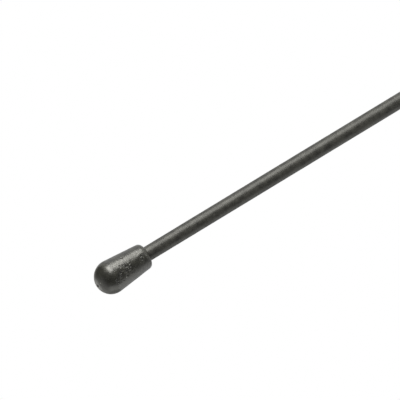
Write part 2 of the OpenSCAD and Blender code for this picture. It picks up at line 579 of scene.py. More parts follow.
class Metal(Enum):
    """The three metals of the foot."""

    NICKEL = MetalFinish(
        "plated_brass", (0.66, 0.63, 0.56), (0.50, 0.46, 0.38), (0.72, 0.52, 0.24), 0.26
    )
    STEEL = MetalFinish(
        "stud_steel", (0.56, 0.57, 0.58), (0.38, 0.38, 0.37), (0.66, 0.66, 0.66), 0.3
    )
    SOLDER = MetalFinish(
        "solder", (0.62, 0.63, 0.64), (0.42, 0.42, 0.42), (0.7, 0.7, 0.7), 0.34, 0.008
    )


# Surfaces


@dataclass(frozen=True)
class Corner:
    """Corner of a turned outline, with the spacing of points on it and on the stretch after it."""

    radius: float
    level: float
    rounding: float = 0.0
    spacing: float = 1.0


@dataclass
class Skin:
    """Closed surface on a grid: rows along an outline or a path, columns round it.

    A looped skin joins its last row to its first. Any other is closed by a point at each end.
    """

    points: Array
    looped: bool = False
    ends: Optional[tuple[Array, Array]] = None
    marks: dict[str, Array] = field(default_factory=dict)


def unit(step: Array) -> Array:
    """The direction of a step."""
    return step / np.linalg.norm(step)


def rise(values: Array, start: float, run: float) -> Array:
    """0 up to the start, 1 past the run after it, and even between them."""
    return np.clip((values - start) / run, 0.0, 1.0)


def rounded_outline(corners: Sequence[Corner], looped: bool) -> Array:
    """Samples an outline of straight stretches with rounded corners.

    A corner that turns by t gives way to an arc that touches both its stretches, and leaves each
    of them rounding * tan(t / 2) before the corner. The solid lies on the left of the outline,
    so it runs up the outside and down the inside.

    Args:
        corners: corners in order. An open outline's first and last are its plain ends.
        looped: whether the outline closes on itself.

    Returns:
        Rows of radius and level.
    """
    count = len(corners)
    spots = np.array([[c.radius, c.level] for c in corners])
    arcs = []
    for i, corner in enumerate(corners):
        if not looped and i in (0, count - 1) or corner.rounding == 0.0:
            arcs.append(spots[i : i + 1])
            continue
        before = unit(spots[i] - spots[i - 1])
        after = unit(spots[(i + 1) % count] - spots[i])
        cross = before[0] * after[1] - before[1] * after[0]
        turn = math.atan2(cross, float(before @ after))
        reach = corner.rounding * math.tan(abs(turn) / 2)
        inwards = math.copysign(1.0, turn) * np.array([-before[1], before[0]])
        centre = spots[i] - reach * before + corner.rounding * inwards
        steps = max(ARC_STEPS, math.ceil(abs(turn) * corner.rounding / corner.spacing))
        swept = np.linspace(0.0, abs(turn), steps + 1)[:, None]
        arcs.append(centre + corner.rounding * (np.sin(swept) * before - np.cos(swept) * inwards))
    parts = []
    for i in range(count if looped else count - 1):
        first, last = arcs[i][-1], arcs[(i + 1) % count][0]
        length = max(float(np.linalg.norm(last - first)), NO_STEP)
        steps = max(1, math.ceil(length / corners[i].spacing))
        guard = min(CORNER_GUARD / length, 0.25)
        shares = np.unique(np.r_[np.linspace(0, 1, steps + 1), guard, 1 - guard])[1:-1, None]
        parts += [arcs[i], first + shares * (last - first)]
    if not looped:
        parts.append(arcs[-1])
    outline = np.concatenate(parts)
    gaps = np.linalg.norm(np.diff(outline, axis=0, append=outline[:1]), axis=1)
    kept = gaps > NO_STEP
    return outline[kept] if looped else outline[np.r_[True, kept[:-1]]]


def outline_normals(outline: Array, looped: bool) -> Array:
    """Outward direction at each point of an outline: its tangent turned a quarter clockwise.

    Args:
        outline: rows of radius and level, with the solid on the left.
        looped: whether the outline closes on itself.

    Returns:
        Unit rows of radius and level.
    """
    if looped:
        along = np.roll(outline, -1, axis=0) - np.roll(outline, 1, axis=0)
    else:
        along = np.gradient(outline, axis=0)
    along /= np.linalg.norm(along, axis=1, keepdims=True)
    return np.stack([along[:, 1], -along[:, 0]], axis=1)


def edge_mask(outline: Array, sharp: float) -> Array:
    """How near each point of an open outline is to a tight corner, from 0 to 1.

    Args:
        outline: rows of radius and level.
        sharp: curvature, in radians a millimetre, at which the mask is 1.

    Returns:
        One value a point: its outward direction's turn over the step, divided by sharp.
    """
    turn = np.linalg.norm(np.gradient(outline_normals(outline, False), axis=0), axis=1)
    step = np.linalg.norm(np.gradient(outline, axis=0), axis=1)
    return np.clip(turn / np.maximum(step, NO_STEP) / sharp, 0.0, 1.0)


def circle(steps: int) -> Array:
    """Angles of even steps round a circle."""
    return np.arange(steps) * (2 * math.pi / steps)


def spin(outline: Array, columns: int) -> Array:
    """Carries an outline round the axis: (r, z) goes to (r cos a, r sin a, z).

    Args:
        outline: rows of radius and level.
        columns: number of steps round the axis.

    Returns:
        The grid of points.
    """
    angles = circle(columns)
    radii = outline[:, :1]
    heights = np.broadcast_to(outline[:, 1:], (len(outline), columns))
    return np.stack([radii * np.cos(angles), radii * np.sin(angles), heights], axis=2)


def spun_normals(outline: Array, columns: int, looped: bool) -> Array:
    """Outward direction at each point of a spun outline, before anything dents it."""
    return spin(outline_normals(outline, looped), columns)


def closed_by_axis(outline: Array, columns: int) -> Skin:
    """Spins an open outline that starts and ends on the axis, where a point closes each end."""
    ends = (np.array([0.0, 0.0, outline[0, 1]]), np.array([0.0, 0.0, outline[-1, 1]]))
    return Skin(spin(outline[1:-1], columns), ends=ends)


def turned_down(skin: Skin, limit: Array) -> tuple[Array, Array]:
    """Takes in a skin's points towards the axis where they stand outside a limit.

    Args:
        skin: the skin that is changed.
        limit: largest radius at each point.

    Returns:
        The radius of each point before and after.
    """
    radius = np.linalg.norm(skin.points[:, :, :2], axis=2)
    held = np.minimum(radius, limit)
    skin.points[:, :, :2] *= (held / radius)[:, :, None]
    return radius, held


def ripples(points: Array, width: float, seed: int) -> Array:
    """Smooth lumps from 0 to 1: a sum of plane waves in random directions.

    Each wave is cos(k . p + phase), with |k| = 2 pi / width.

    Args:
        points: points in millimetres, any shape that ends in 3.
        width: distance from one lump to the next, in millimetres.
        seed: seed of the directions and phases.

    Returns:
        One value a point.
    """
    draw = np.random.default_rng(seed)
    waves = draw.normal(size=(WAVES, 3))
    waves *= 2 * math.pi / width / np.linalg.norm(waves, axis=1, keepdims=True)
    # Two rows are drawn and the second is used, which keeps the lumps in their places
    phases = draw.uniform(0, 2 * math.pi, (2, WAVES))[1]
    total = np.cos(points @ waves.T + phases).sum(axis=-1)
    return np.clip(0.5 + total / WAVE_SPAN, 0.0, 1.0)


def grid_faces(rows: int, columns: int, looped: bool) -> tuple[Array, Array]:
    """Faces of a grid whose columns close on themselves.

    Quad (i, j) joins points j and j + 1 of rows i and i + 1, counted modulo the columns, and
    modulo the rows where the grid is looped. Otherwise a fan of triangles joins the first row to
    the point after the grid's last, and another joins the last row to the next point.

    Args:
        rows: number of rows.
        columns: number of columns.
        looped: whether the last row joins the first.

    Returns:
        Rows of four point numbers, and rows of three.
    """
    i = np.arange(rows if looped else rows - 1)[:, None] * columns
    up = (i + columns) % (rows * columns)
    j = np.arange(columns)[None, :]
    k = (j + 1) % columns
    quads = np.stack([i + j, i + k, up + k, up + j], axis=2).reshape(-1, 4)
    if looped:
        return quads, np.zeros((0, 3), int)
    j, k = j[0], k[0]
    low = np.stack([np.full(columns, rows * columns), k, j], axis=1)
    top = (rows - 1) * columns
    high = np.stack([np.full(columns, rows * columns + 1), top + j, top + k], axis=1)
    return quads, np.concatenate([low, high])


def held_volume(points: Array, quads: Array, triangles: Array) -> float:
    """Volume that faces enclose, above zero where they point outwards.

    Args:
        points: rows of x, y and z.
        quads: rows of four point numbers.
        triangles: rows of three point numbers.

    Returns:
        A sixth of the sum of a . (b x c) over the triangles.
    """
    every = np.concatenate([quads[:, [0, 1, 2]], quads[:, [0, 2, 3]], triangles])
    a, b, c = (points[every[:, n]] for n in range(3))
    return float((a * np.cross(b, c)).sum() / 6)


def make_piece(name: str, skin: Skin, finish: Finish, node: str) -> bpy.types.Object:
    """Writes a skin as a piece that stands for a CAD node and rides on the aerial.

    Args:
        name: name of the piece.
        skin: its surface, in millimetres.
        finish: its finish, named after the record's slot.
        node: CAD node that it stands for.

    Returns:
        The piece.

    Raises:
        ValueError: if the skin's faces point inwards.
    """
    rows, columns = skin.points.shape[:2]
    points = skin.points.reshape(-1, 3)
    if not skin.looped:
        points = np.concatenate([points, np.stack(skin.ends)])
    quads, triangles = grid_faces(rows, columns, skin.looped)
    if held_volume(points, quads, triangles) <= 0:
        raise ValueError(f"the faces of {name} point inwards")
    mesh = bpy.data.meshes.new(name)
    mesh.vertices.add(len(points))
    mesh.vertices.foreach_set("co", (points * MM).astype(np.float32).ravel())
    corners = np.concatenate([quads.ravel(), triangles.ravel()])
    starts = np.r_[np.arange(len(quads)) * 4, quads.size + np.arange(len(triangles)) * 3]
    mesh.loops.add(len(corners))
    mesh.loops.foreach_set("vertex_index", corners.astype(np.int32))
    mesh.polygons.add(len(starts))
    mesh.polygons.foreach_set("loop_start", starts.astype(np.int32))
    mesh.update(calc_edges=True)
    mesh.validate()
    mesh.shade_smooth()
    for mark, values in skin.marks.items():
        flat = np.zeros(len(points), np.float32)
        flat[: rows * columns] = values.ravel()
        mesh.attributes.new(mark, "FLOAT", "POINT").data.foreach_set("value", flat)
    mesh.materials.append(finish.build())
    piece = bpy.data.objects.new(name, mesh)
    bpy.context.scene.collection.objects.link(piece)
    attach(piece, BODY)
    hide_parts(node)
    return piece


def levels(node: str) -> tuple[float, float]:
    """Lowest and highest level of a CAD node."""
    low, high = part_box(node)
    return low.z / MM, high.z / MM


def tangent(low: Array, high: Array) -> tuple[Array, Array]:
    """Outer tangent of two discs of an outline, on the side away from the axis.

    Its outward direction is s * along + sqrt(1 - s * s) * across, where s is the difference of
    the radii over the distance of the centres.

    Args:
        low: radius and level of the lower disc's centre, and its own radius.
        high: the same for the upper disc.

    Returns:
        The point at which the tangent touches each disc.
    """
    step = high[:2] - low[:2]
    lean = (low[2] - high[2]) / np.linalg.norm(step)
    along = unit(step)
    across = np.array([along[1], -along[0]])
    out = lean * along + math.sqrt(1 - lean * lean) * across
    return low[:2] + low[2] * out, high[:2] + high[2] * out


def radius_at(line: tuple[Array, Array], level: float) -> float:
    """Radius at which a straight line through two points of an outline reaches a level."""
    (r0, z0), (r1, z1) = line
    return float(r0 + (r1 - r0) * (level - z0) / (z1 - z0))


# The aerial


class MarkKind(Enum):
    """The two kinds of mark on the cap, with the value that each writes in the mesh."""

    # A pit's value paints shade into the cap's colour, and a speck's paints pale dust
    PIT = -1.0
    SPECK = 1.0


@dataclass(frozen=True)
class Marks:
    """Small marks of one kind on the cap, some at given places and some scattered.

    A place is a height above the rear face and a bearing. The scattered ones lie between the
    places low and high.
    """

    kind: MarkKind
    size: float
    depth: float = 0.0
    places: tuple[Pair, ...] = ()
    scattered: int = 0
    low: Pair = (0.0, 0.0)
    high: Pair = (0.0, 0.0)

    def drawn(self, draw: np.random.Generator) -> tuple[Array, Array, Array]:
        """Draws the scattered marks and the sizes of all.

        Args:
            draw: source of the random numbers.

        Returns:
            Height, bearing in radians, and size of each mark.
        """
        low, high = np.array(self.low), np.array(self.high)
        loose = low + (high - low) * draw.uniform(0, 1, (self.scattered, 2))
        spots = np.concatenate([np.array(self.places).reshape(-1, 2), loose])
        size = self.size * draw.uniform(*MARK_SPREAD, len(spots))
        return spots[:, 0], np.radians(spots[:, 1]), size


@dataclass
class TipCap:
    """Moulded cap: the round nose narrows in a straight taper to the rounded rear rim.

    Its skin swells a little, has lumps, given as pairs of width and depth, and carries marks. It
    leans to -X by a share of its height above the level lean_from. All this sets in over
    skin_run outside the bore, which stays true, and goes right to the axis above solid_from.
    Heights are above the rear face.
    """

    nose_r: float = 5.1
    rim_radius: float = 4.0
    rim_edge_r: float = 1.5
    bore_r: float = MAST_R + FIT_GAP
    bore_floor_r: float = 0.2
    bore_mouth_r: float = 0.12
    columns: int = 352
    spacing: float = 0.105
    lumps: tuple[Pair, ...] = ((3.2, 0.03), (1.0, 0.011))
    skin_run: float = 0.5
    solid_from: float = 13.0
    swell: float = 0.09
    lean: float = 0.0145
    lean_from: float = -2.0
    mark_seed: int = 7
    mark_margin: float = 1.5
    warp_least: float = 0.7
    warp_more: float = 0.6
    warp_width: float = 0.5
    warp_seed: int = 5
    marks: tuple[Marks, ...] = (
        Marks(
            MarkKind.PIT,
            size=0.37,
            depth=0.22,
            places=(
                *((10.7, -6.6), (11.0, -19.8), (8.9, -13.1), (7.7, -14.0), (12.8, -20.6)),
                *((12.7, -30.0), (7.0, -5.9), (8.2, 3.1), (9.0, -27.5), (2.7, -7.8), (2.6, 6.4)),
            ),
        ),
        Marks(MarkKind.PIT, 0.38, 0.14, places=((7.8, 41.9),)),
        Marks(MarkKind.PIT, 0.46, 0.65, places=((17.72, -12.0),)),
        Marks(MarkKind.PIT, 0.23, 0.09, ((9.7, 16.8),), 14, (6.6, -28.0), (10.6, 12.0)),
        Marks(MarkKind.PIT, 0.2, 0.055, scattered=8, low=(8.8, -40.0), high=(13.2, -18.0)),
        Marks(MarkKind.PIT, 0.16, 0.04, scattered=14, low=(0.9, -24.0), high=(3.4, 12.0)),
        Marks(MarkKind.PIT, 0.13, 0.025, scattered=90, low=(0.5, -180.0), high=(15.5, 180.0)),
        Marks(
            MarkKind.SPECK,
            size=0.19,
            places=(
                *((9.8, 8.6), (6.9, 1.7), (7.5, -17.0), (8.7, -29.0), (9.6, -31.6)),
                *((7.8, -6.8), (12.7, -33.7), (2.1, -3.6), (1.0, -1.5), (17.0, 1.1)),
            ),
        ),
        Marks(MarkKind.SPECK, 0.11, scattered=6, low=(6.6, -36.0), high=(11.0, 12.0)),
        Marks(MarkKind.SPECK, 0.09, scattered=40, low=(0.5, -180.0), high=(16.5, 180.0)),
    )

    def outline(self, rear: float, tip: float, bore_top: float) -> Array:
        """Outline from the floor of the bore, out over the rear rim and up to the tip.

        Args:
            rear: level of the rear face.
            tip: level of the tip.
            bore_top: level of the bore's floor.

        Returns:
            Rows of radius and level.
        """
        rim, fine = self.rim_edge_r, self.spacing
        flank = tangent(
            np.array([self.rim_radius - rim, rear + rim, rim]),
            np.array([0.0, tip - self.nose_r, self.nose_r]),
        )
        corners = (
            Corner(0.0, bore_top),
            Corner(self.bore_r, bore_top, self.bore_floor_r),
            Corner(self.bore_r, rear, self.bore_mouth_r, 0.1),
            Corner(radius_at(flank, rear), rear, rim, fine),
            Corner(radius_at(flank, tip), tip, self.nose_r, fine),
            Corner(0.0, tip),
        )
        return rounded_outline(corners, looped=False)

    def marked(self, outline: Array, points: Array, rear: float) -> tuple[Array, Array]:
        """Dents and colour of the small marks.

        A mark's dent is depth * exp(-2 (d / size)^2) at a distance d from its middle, where
        ripples stretch and squeeze d so that no mark is quite round.

        Args:
            outline: outline of the cap.
            points: grid of points that the marks lie on.
            rear: level of the rear face.

        Returns:
            Depth in millimetres and mark value, a point, from -1 in a pit, where it paints shade,
            to 1 on a speck of pale dust.
        """
        draw = np.random.default_rng(self.mark_seed)
        outside = outline[np.argmax(outline[:, 0] > self.bore_r + self.mark_margin) :]
        flat = points.reshape(-1, 3)
        squeeze = ripples(flat, self.warp_width, self.warp_seed)[:, None]
        warp = self.warp_least + self.warp_more * squeeze
        depth = np.zeros(len(flat))
        colour = np.zeros(len(flat))
        for marks in self.marks:
            height, bearing, size = marks.drawn(draw)
            radius = np.interp(rear + height, outside[:, 1], outside[:, 0])
            middle = [radius * np.sin(bearing), -radius * np.cos(bearing), rear + height]
            spots = np.stack(middle, axis=1)
            apart = (flat**2).sum(1)[:, None] + (spots**2).sum(1) - 2 * flat @ spots.T
            shape = np.exp(-2 * np.maximum(apart, 0.0) * warp / size**2).max(axis=1)
            depth = np.maximum(depth, marks.depth * shape)
            # Pits write negative values, which paint shade into the cap's colour; specks write
            # positive ones for pale dust
            colour += marks.kind.value * shape
        grid = points.shape[:2]
        return depth.reshape(grid), np.clip(colour, -1.0, 1.0).reshape(grid)

    def build(self) -> bpy.types.Object:
        """Builds and dresses the cap.

        Returns:
            The piece.
        """
        rear, tip = levels("tip_cap")
        outline = self.outline(rear, tip, levels("mast_sleeve")[1])
        skin = closed_by_axis(outline, self.columns)
        normals = spun_normals(outline, self.columns, looped=False)[1:-1]
        pits, pit_shade_and_dust = self.marked(outline, skin.points, rear)
        sunk = pits - self.swell
        for seed, (width, depth) in enumerate(self.lumps):
            sunk = sunk + depth * ripples(skin.points, width, seed)
        solid = outline[1:-1, 1:] > rear + self.solid_from
        outside = np.where(solid, 1.0, rise(outline[1:-1, :1], self.bore_r, self.skin_run))
        skin.points = skin.points - (sunk * outside)[:, :, None] * normals
        above = skin.points[:, :, 2] - rear - self.lean_from
        skin.points[:, :, 0] -= self.lean * above * outside
        # The mark values paint shade into the pits and pale dust onto the specks
        skin.marks["pit_shade_and_dust"] = pit_shade_and_dust
        return make_piece("rubber_tip_cap", skin, Rubber.CAP.value, "tip_cap")


@dataclass
class Mast:
    """Sleeved rod with its winding, from the foot to the cap.

    The sleeve has faint lumps, and swells a little where it is bare. Both set in over skin_run
    from skin_from outside the wall of its bore, so its bore stays true.
    """

    columns: int = 96
    sleeve_spacing: float = 0.8
    bore_spacing: float = 4.0
    end_spacing: float = 0.1
    lump_width: float = 4.0
    lump_depth: float = 0.016
    lump_seed: int = 11
    swell: float = 0.045
    skin_from: float = 0.08
    skin_run: float = 0.4
    edge_r: float = 0.08
    rod_columns: int = 64
    rod_edge_r: float = 0.15
    wire_r: float = 0.175
    wind_r: float = 1.535
    wire_sides: int = 8
    turn_steps: int = 24
    tail_l: float = 3.0
    tail_rings: int = 4
    tail_bend_r: float = 0.8
    bend_steps: int = 8
    coil_turns: float = 20.0
    coil_pitch: float = 1.0
    blend_turns: float = 3.0
    wind_pitch: float = 7.8
    bare_rod_l: float = 4.0

    def sleeve(self) -> bpy.types.Object:
        """Builds the sleeve, a tube with faint lumps along it, fuller where it is bare.

        Returns:
            The piece.
        """
        low, high = levels("mast_sleeve")
        corners = (
            Corner(BORE_R, low, self.edge_r, self.end_spacing),
            Corner(MAST_R, low, self.edge_r, self.sleeve_spacing),
            Corner(MAST_R, high, self.edge_r, self.end_spacing),
            Corner(BORE_R, high, self.edge_r, self.bore_spacing),
        )
        outline = rounded_outline(corners, looped=True)
        points = spin(outline, self.columns)
        boot_top, cap_rear = levels("foot_boot")[1], levels("tip_cap")[0]
        bare = (outline[:, 1:] > boot_top) & (outline[:, 1:] < cap_rear)
        lumps = self.lump_depth * ripples(points, self.lump_width, self.lump_seed)
        outside = rise(outline[:, :1], BORE_R + self.skin_from, self.skin_run)
        sunk = (lumps - self.swell * bare) * outside
        normals = spun_normals(outline, self.columns, looped=True)
        skin = Skin(points - sunk[:, :, None] * normals, looped=True)
        finish = SleeveFinish("sleeve_plastic")
        return make_piece("black_mast_sleeve", skin, finish, "mast_sleeve")

    def rod(self) -> bpy.types.Object:
        """Builds the glass fibre rod, ground flat with a broken edge at both ends.

        Returns:
            The piece.
        """
        low, high = levels("core_rod")
        corners = (
            Corner(0.0, low, 0.0, 0.4),
            Corner(ROD_R, low, self.rod_edge_r, 2.0),
            Corner(ROD_R, high, self.rod_edge_r, 0.4),
            Corner(0.0, high),
        )
        skin = closed_by_axis(rounded_outline(corners, looped=False), self.rod_columns)
        finish = GlassFibreFinish("glass_fibre")
        return make_piece("fibre_core_rod", skin, finish, "core_rod")

    def wire_path(self, height: float) -> tuple[Array, Array, Array]:
        """Path of the wire on the unrolled cylinder that it is wound on.

        It climbs straight off the solder, bends through a quarter less the first slope, and then
        rises by coil_pitch * u + (wind_pitch - coil_pitch) * opened(u) over u turns, where opened
        is 0 up to coil_turns, past^2 / (2 * blend_turns) while the pitch opens out, and
        past - blend_turns / 2 after that.

        Args:
            height: height of the winding above the solder.

        Returns:
            Distance round the rod, height above the solder, and slope in radians.
        """
        around = 2 * math.pi * self.wind_r
        slope = math.atan(self.coil_pitch / around)
        extra = self.wind_pitch - self.coil_pitch
        bend_x = self.tail_bend_r * (1 - math.sin(slope))
        bend_y = self.tail_l + self.tail_bend_r * math.cos(slope)
        left = height - bend_y + extra * (self.coil_turns + self.blend_turns / 2)
        turns = left / self.wind_pitch
        tail = np.linspace(0, self.tail_l, self.tail_rings)
        bent = np.linspace(0, math.pi / 2 - slope, self.bend_steps + 1)[1:]
        wound = np.linspace(0, turns, math.ceil(turns * self.turn_steps) + 1)[1:]
        past = np.maximum(wound - self.coil_turns, 0.0)
        blended = np.minimum(past, self.blend_turns)
        opened = blended**2 / (2 * self.blend_turns) + past - blended
        pitch = self.coil_pitch + extra * blended / self.blend_turns
        x = [np.zeros_like(tail), self.tail_bend_r * (1 - np.cos(bent)), bend_x + wound * around]
        y = [
            tail,
            self.tail_l + self.tail_bend_r * np.sin(bent),
            bend_y + self.coil_pitch * wound + extra * opened,
        ]
        upright = np.full_like(tail, math.pi / 2)
        slopes = [upright, math.pi / 2 - bent, np.arctan(pitch / around)]
        return np.concatenate(x), np.concatenate(y), np.concatenate(slopes)

    def winding(self) -> bpy.types.Object:
        """Builds the copper winding: rings of the wire's section along its path.

        Point j of a ring is centre + wire_r * (cos a * outwards + sin a * across), where across
        is square to the path and to outwards.

        Returns:
            The piece.
        """
        start, top = levels("antenna_winding")[0], levels("mast_sleeve")[1] - self.bare_rod_l
        x, y, slope = self.wire_path(top - start)
        turn = x / self.wind_r
        flat = np.zeros_like(turn)
        outwards = np.stack([np.cos(turn), np.sin(turn), flat], axis=1)
        around = np.stack([-np.sin(turn), np.cos(turn), flat], axis=1)
        across = np.sin(slope)[:, None] * around - np.cos(slope)[:, None] * [[0.0, 0.0, 1.0]]
        centres = self.wind_r * outwards + np.stack([flat, flat, start + y], axis=1)
        a = circle(self.wire_sides)[:, None]
        section = np.cos(a) * outwards[:, None] + np.sin(a) * across[:, None]
        points = centres[:, None] + self.wire_r * section
        skin = Skin(points, ends=(centres[0], centres[-1]))
        finish = CopperFinish("copper_wire")
        return make_piece("copper_winding", skin, finish, "antenna_winding")

    def build(self) -> list[bpy.types.Object]:
        """Builds the mast's pieces, from the inside out."""
        return [self.rod(), self.winding(), self.sleeve()]


@dataclass
class Foot:
    """Metal foot: solder, ferrule and stud, with the moulded boot and the rubber washer."""

    # Solder: its hollow top, the lumps on it, and the stretches of its wall below and above
    cup_edge_r: float = 0.05
    hollow_depth: float = 0.45
    hollow_points: int = 13
    solder_lump: float = 0.08
    solder_lump_width: float = 1.4
    solder_lump_h: float = 0.6
    solder_seed: int = 21
    wall_low: float = 0.8
    wall_high: float = 0.4
    solder_columns: int = 96

    # Ferrule
    collar_r: float = 5.0
    collar_h: float = 5.0
    chamfer: float = 0.4
    flats_w: float = 8.0
    flat_touch: float = 0.001
    flat_edge: float = 0.05
    flat_wear: float = 0.25
    body_r: float = 3.8
    body_h: float = 8.0
    groove_h: float = 3.0
    groove_w: float = 2.0
    groove_depth: float = 0.4
    shoulder_r: float = 0.2
    neck_h: float = 14.0
    crimp_count: int = 3
    crimp_step: float = 3.0
    crimp_r: float = 0.8
    crimp_depth: float = 0.2
    crimp_edge_r: float = 0.15
    cup_l: float = 1.5
    edge_r: float = 0.06
    worn_curvature: float = 8.0
    ferrule_columns: int = 256

    # Stud
    stud_r: float = 2.5
    stud_in_l: float = 8.0
    thread_pitch: float = 0.8
    thread_steps: int = 16
    relief_depth: float = 0.45
    relief_run: float = 0.5
    relief_r: float = 0.2
    stud_chamfer: float = 0.6
    stud_edge_r: float = 0.05
    stud_top_r: float = 0.2
    crest_wear: float = 0.15
    stud_columns: int = 96

    # Boot
    boot_wall: float = 1.4
    boot_top_wall: float = 1.0
    boot_grip_l: float = 2.0
    boot_foot_r: float = 0.6
    boot_blend_r: float = 2.5
    boot_top_r: float = 0.8
    boot_hem_r: float = 0.1
    boot_mouth_r: float = 0.08
    rib_edge_r: float = 0.05
    rib_gap: float = 0.1
    boot_lump: float = 0.02
    boot_lump_width: float = 3.0
    boot_skin: float = 0.6
    boot_seed: int = 31
    boot_columns: int = 160

    # Washer
    washer_gap: float = 0.1
    washer_inset: float = 0.2
    washer_hole_r: float = 0.08
    washer_rim_r: float = 0.18
    washer_columns: int = 128

    def solder(self) -> bpy.types.Object:
        """Builds the solder, whose hollow top climbs the rod and the wall of the cup.

        The top falls by hollow_depth * sin(pi s) at a share s of the way from rod to wall.

        Returns:
            The piece.
        """
        low, high = levels("solder_joint")
        inner, outer = ROD_R + FIT_GAP, BORE_R - FIT_GAP
        s = np.linspace(1.0, 0.0, self.hollow_points)
        hollow = high - self.hollow_depth * np.sin(math.pi * s)
        top = np.stack([inner + s * (outer - inner), hollow], axis=1)
        corners = (
            Corner(inner, low, self.cup_edge_r, 0.1),
            Corner(outer, low, self.cup_edge_r, 0.3),
        )
        floor = rounded_outline(corners, looped=False)
        wall = [[outer, low + self.wall_low], [outer, high - self.wall_high]]
        outline = np.concatenate([floor, wall, top])
        points = spin(outline, self.solder_columns)
        lumps = self.solder_lump * ripples(points, self.solder_lump_width, self.solder_seed)
        points[:, :, 2] -= lumps * (outline[:, 1:] > high - self.solder_lump_h)
        skin = Skin(points, looped=True)
        return make_piece("solder_ring", skin, Metal.SOLDER.value, "solder_joint")

    def ferrule_outline(self) -> Array:
        """Outline of the ferrule, from the floor of its stud hole to the floor of its rod socket.

        Returns:
            Rows of radius and level.
        """
        foot, neck_top = levels("foot_ferrule")
        rod_end, hole_top = levels("core_rod")[0], foot + self.stud_in_l
        body = foot + self.collar_h
        neck = body + self.body_h
        groove = body + self.groove_h
        hole, socket, edge = self.stud_r + FIT_GAP, ROD_R + FIT_GAP, self.edge_r
        middle = neck + self.neck_h / 2
        places = middle + self.crimp_step * (np.arange(self.crimp_count) - self.crimp_count // 2)
        half = math.sqrt(self.crimp_r**2 - (self.crimp_r - self.crimp_depth) ** 2)
        crimps = [
            Corner(radius, place + shift, rounding, 0.15)
            for place in places
            for radius, shift, rounding in (
                (MAST_R, -half, self.crimp_edge_r),
                (MAST_R - self.crimp_depth, 0.0, self.crimp_r),
                (MAST_R, half, self.crimp_edge_r),
            )
        ]
        corners = (
            Corner(0.0, hole_top),
            Corner(hole, hole_top, edge),
            Corner(hole, foot, edge, 0.3),
            Corner(self.collar_r - self.chamfer, foot, edge, 0.1),
            Corner(self.collar_r, foot + self.chamfer, edge, 0.4),
            Corner(self.collar_r, body - self.chamfer, edge, 0.1),
            Corner(self.collar_r - self.chamfer, body, edge, 0.3),
            Corner(self.body_r, body, edge, 0.5),
            Corner(self.body_r, groove, edge, 0.2),
            Corner(self.body_r - self.groove_depth, groove, edge, 0.4),
            Corner(self.body_r - self.groove_depth, groove + self.groove_w, edge, 0.2),
            Corner(self.body_r, groove + self.groove_w, edge, 0.5),
            Corner(self.body_r, neck, self.shoulder_r, 0.3),
            Corner(MAST_R, neck, edge, 0.6),
            *crimps,
            Corner(MAST_R, neck_top, edge, 0.2),
            Corner(BORE_R, neck_top, edge, 0.4),
            Corner(BORE_R, neck_top - self.cup_l, edge, 0.2),
            Corner(socket, neck_top - self.cup_l, edge, 1.0),
            Corner(socket, rod_end, edge, 0.5),
            Corner(0.0, rod_end),
        )
        return rounded_outline(corners, looped=False)

    def ferrule(self) -> bpy.types.Object:
        """Builds the ferrule. Its flats hold the collar's radius under (flats_w / 2) / |cos a|.

        Its metal is worn at tight corners and at the edges of the flats, and less on them.

        Returns:
            The piece.
        """
        outline = self.ferrule_outline()
        skin = closed_by_axis(outline, self.ferrule_columns)
        flat = self.flats_w / 2 / np.maximum(np.abs(np.cos(circle(self.ferrule_columns))), NO_STEP)
        radius, held = turned_down(skin, flat)
        cut = radius - held
        sharp = edge_mask(outline, self.worn_curvature)[1:-1, None]
        worn = np.maximum(sharp, cut > self.flat_touch)
        skin.marks["edge"] = worn * np.where(cut < self.flat_edge, 1.0, self.flat_wear)
        return make_piece("plated_ferrule", skin, Metal.NICKEL.value, "foot_ferrule")

    def thread_radius(self, points: Array) -> Array:
        """Radius of a right-handed metric thread at each point.

        With w the distance across the thread as a share of its pitch, from 0 at the middle of a
        crest to 1/2 at the middle of a root, the radius falls from the crest's at the rate of a
        60 degree flank, between a crest an eighth of the pitch wide and a root a quarter wide.

        Args:
            points: grid of points on the stud's side.

        Returns:
            One radius a point.
        """
        angle = np.arctan2(points[:, :, 1], points[:, :, 0])
        share = points[:, :, 2] / self.thread_pitch - angle / (2 * math.pi)
        across = np.abs((share + 0.5) % 1.0 - 0.5)
        flank = np.clip(across - 1 / 16, 0.0, 1 / 2 - 1 / 8 - 1 / 16)
        return self.stud_r - flank * self.thread_pitch * math.sqrt(3)

    def stud(self) -> bpy.types.Object:
        """Builds the stud: the smaller of its turned blank and its thread, at every point.

        Returns:
            The piece.
        """
        low, high = levels("mount_stud")
        relief, edge = self.stud_r - self.relief_depth, self.stud_edge_r
        run = levels("foot_ferrule")[0] + self.relief_run
        fine = self.thread_pitch / self.thread_steps
        corners = (
            Corner(0.0, low, 0.0, 0.5),
            Corner(self.stud_r - self.stud_chamfer, low, edge, fine),
            Corner(self.stud_r, low + self.stud_chamfer, edge, fine),
            Corner(self.stud_r, 0.0, edge, fine),
            Corner(relief, self.relief_depth, self.relief_r, 0.2),
            Corner(relief, run - self.relief_depth, self.relief_r, fine),
            Corner(self.stud_r, run, edge, fine),
            Corner(self.stud_r, high, self.stud_top_r, 0.5),
            Corner(0.0, high),
        )
        skin = closed_by_axis(rounded_outline(corners, looped=False), self.stud_columns)
        held = turned_down(skin, self.thread_radius(skin.points))[1]
        skin.marks["edge"] = rise(held, self.stud_r - self.crest_wear, self.crest_wear)
        return make_piece("threaded_stud", skin, Metal.STEEL.value, "mount_stud")

